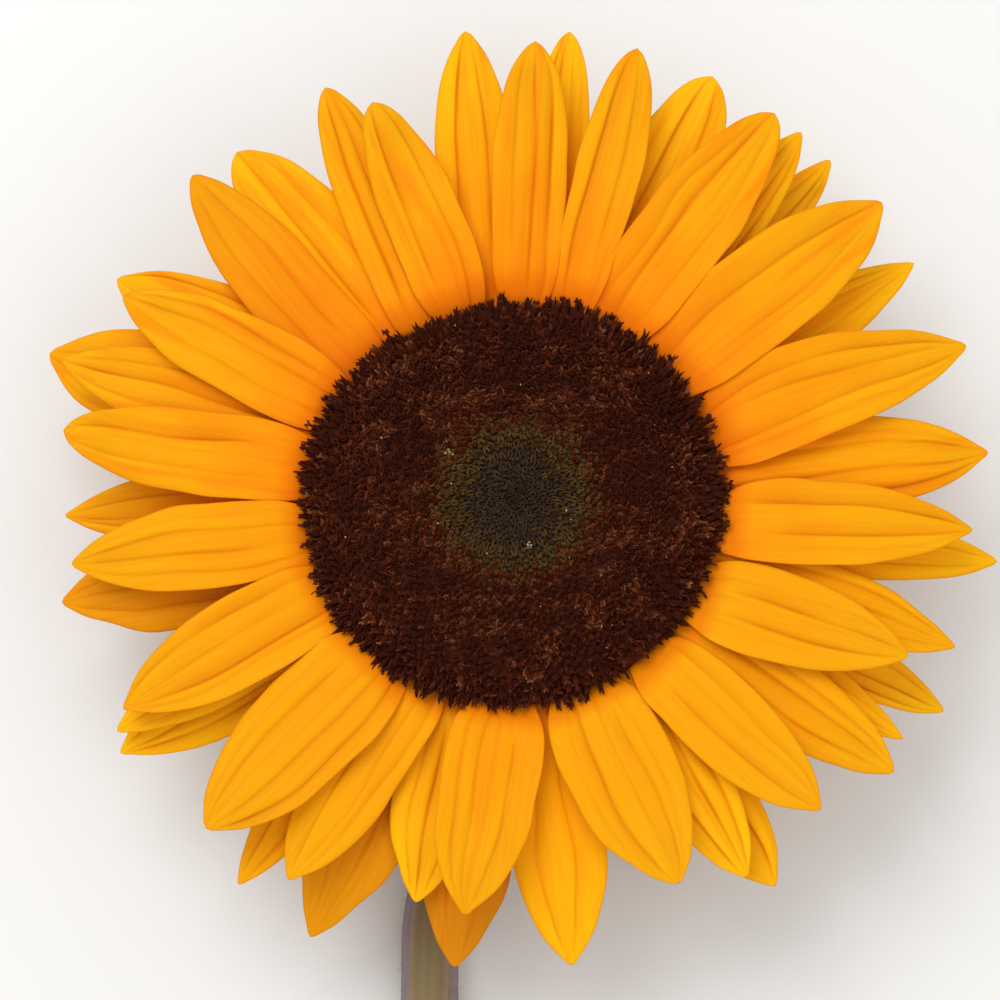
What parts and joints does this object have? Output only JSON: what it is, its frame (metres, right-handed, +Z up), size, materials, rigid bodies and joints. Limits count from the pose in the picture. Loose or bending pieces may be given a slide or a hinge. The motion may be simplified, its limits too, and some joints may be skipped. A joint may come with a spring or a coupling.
{
  "type": "cut sunflower",
  "caption": "A cut sunflower bloom lying face up on its green bracts, with golden petals in overlapping whorls round a dark brown seed disc and a short bare stem behind.",
  "frame": {"origin": "middle of the outline on the ground, under the whole piece", "axes": "+Z is up out of the face of the bloom, and the stem runs towards -Y to its cut end"},
  "size_m": [0.1836, 0.2226, 0.0479],
  "materials": {
    "stem": "hairy olive stem, rough",
    "receptacle": "green plant flesh, matte",
    "disc": "tight brown florets, rough",
    "bract": "hairy green leaf, matte",
    "petal": "golden petal, satin"
  },
  "bodies": {
    "root": {"stem": "stem", "receptacle": "receptacle", "disc": "disc", "bracts_outer": "bract", "bracts_middle": "bract", "bracts_inner": "bract", "petal_front_01": "petal", "petal_front_02": "petal", "petal_front_03": "petal", "petal_front_04": "petal", "petal_front_05": "petal", "petal_front_06": "petal", "petal_front_07": "petal", "petal_front_08": "petal", "petal_front_09": "petal", "petal_front_10": "petal", "petal_front_11": "petal", "petal_front_12": "petal", "petal_front_13": "petal", "petal_front_14": "petal", "petal_front_15": "petal", "petal_front_16": "petal", "petal_second_01": "petal", "petal_second_02": "petal", "petal_second_03": "petal", "petal_second_04": "petal", "petal_second_05": "petal", "petal_second_06": "petal", "petal_second_07": "petal", "petal_second_08": "petal", "petal_second_09": "petal", "petal_second_10": "petal", "petal_third_01": "petal", "petal_third_02": "petal", "petal_third_03": "petal", "petal_third_04": "petal", "petal_third_05": "petal", "petal_third_06": "petal", "petal_third_07": "petal", "petal_third_08": "petal", "petal_third_09": "petal", "petal_third_10": "petal", "petal_third_11": "petal", "petal_third_12": "petal", "petal_third_13": "petal", "petal_third_14": "petal", "petal_back_01": "petal", "petal_back_02": "petal", "petal_back_03": "petal", "petal_back_04": "petal", "petal_back_05": "petal", "petal_back_06": "petal"}
  },
  "joints": []
}
